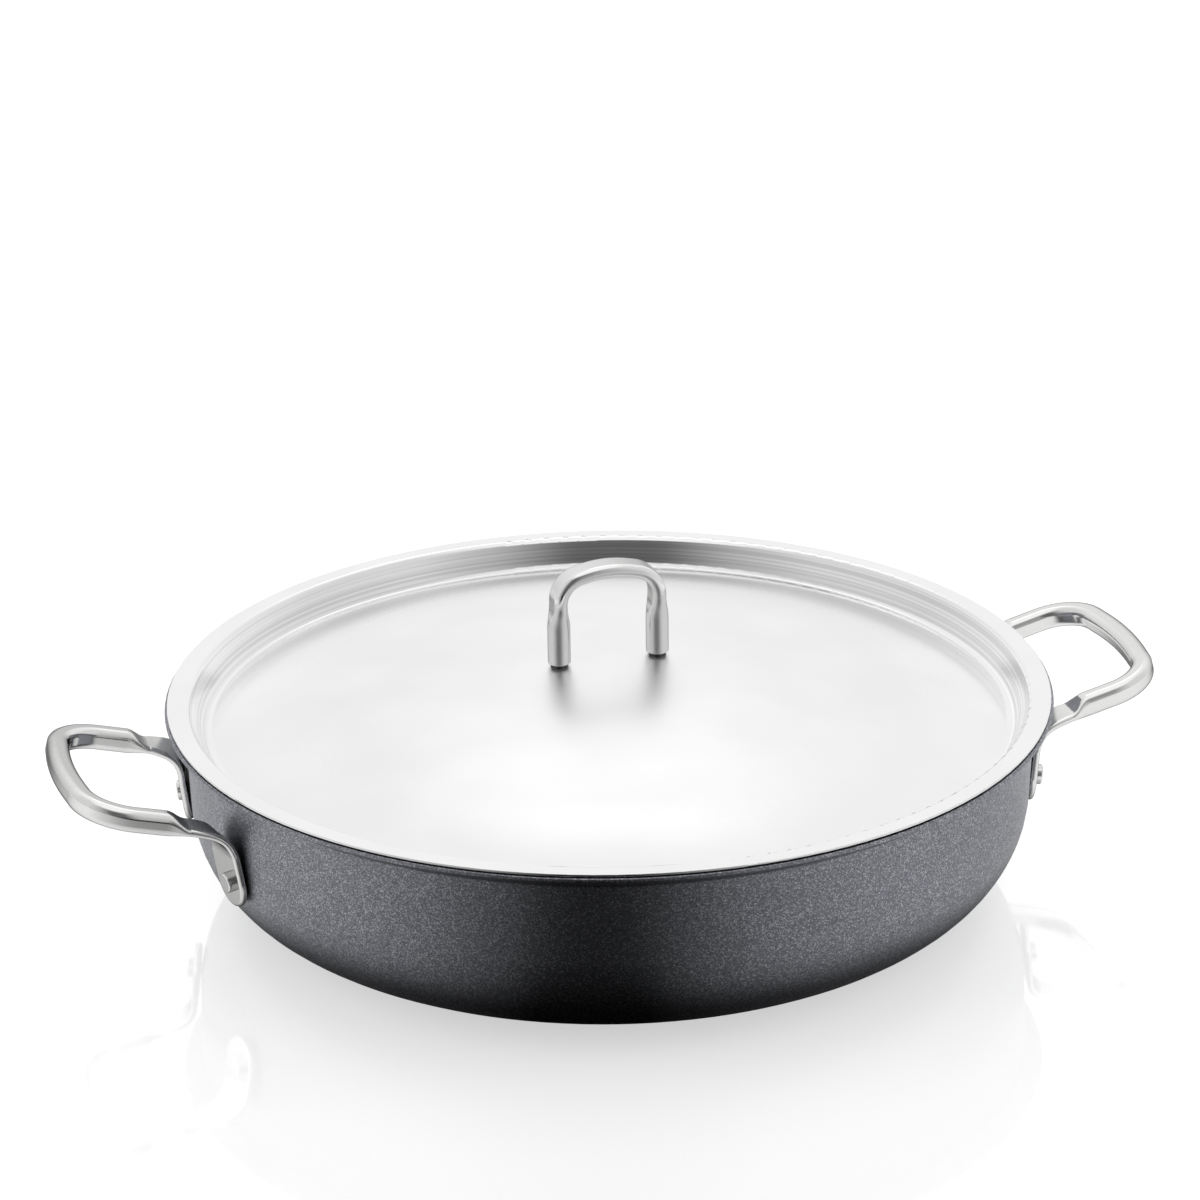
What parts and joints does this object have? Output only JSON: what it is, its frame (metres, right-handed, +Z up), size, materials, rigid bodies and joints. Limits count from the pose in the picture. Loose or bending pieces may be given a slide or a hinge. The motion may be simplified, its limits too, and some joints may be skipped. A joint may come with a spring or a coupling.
{
  "type": "braiser with lid",
  "caption": "Low, wide dark-coated braising pan with two steel loop handles and a domed brushed-steel lid with an arched handle.",
  "frame": {"origin": "centre of the base's underside", "axes": "+Z up, side handles along X"},
  "size_m": [0.371, 0.2916, 0.1113],
  "materials": {
    "coated_aluminium": "satin, finely speckled hard coating",
    "satin_steel": "fine circular brushing",
    "polished_steel": "satin polished"
  },
  "bodies": {
    "pan": {"pan_body": "coated_aluminium", "base_plate": "satin_steel", "side_handle_right": "polished_steel", "side_handle_left": "polished_steel", "rivet_right_front": "polished_steel", "rivet_right_back": "polished_steel", "rivet_left_front": "polished_steel", "rivet_left_back": "polished_steel"},
    "lid": {"lid": "satin_steel", "lid_handle": "polished_steel", "lid_handle_stud_right": "polished_steel", "lid_handle_stud_left": "polished_steel"}
  },
  "joints": [
    {"name": "lid_lift", "type": "slide", "parent": "pan", "child": "lid", "axis": [0, 0, 1], "range_m": [0, 0.12]}
  ]
}
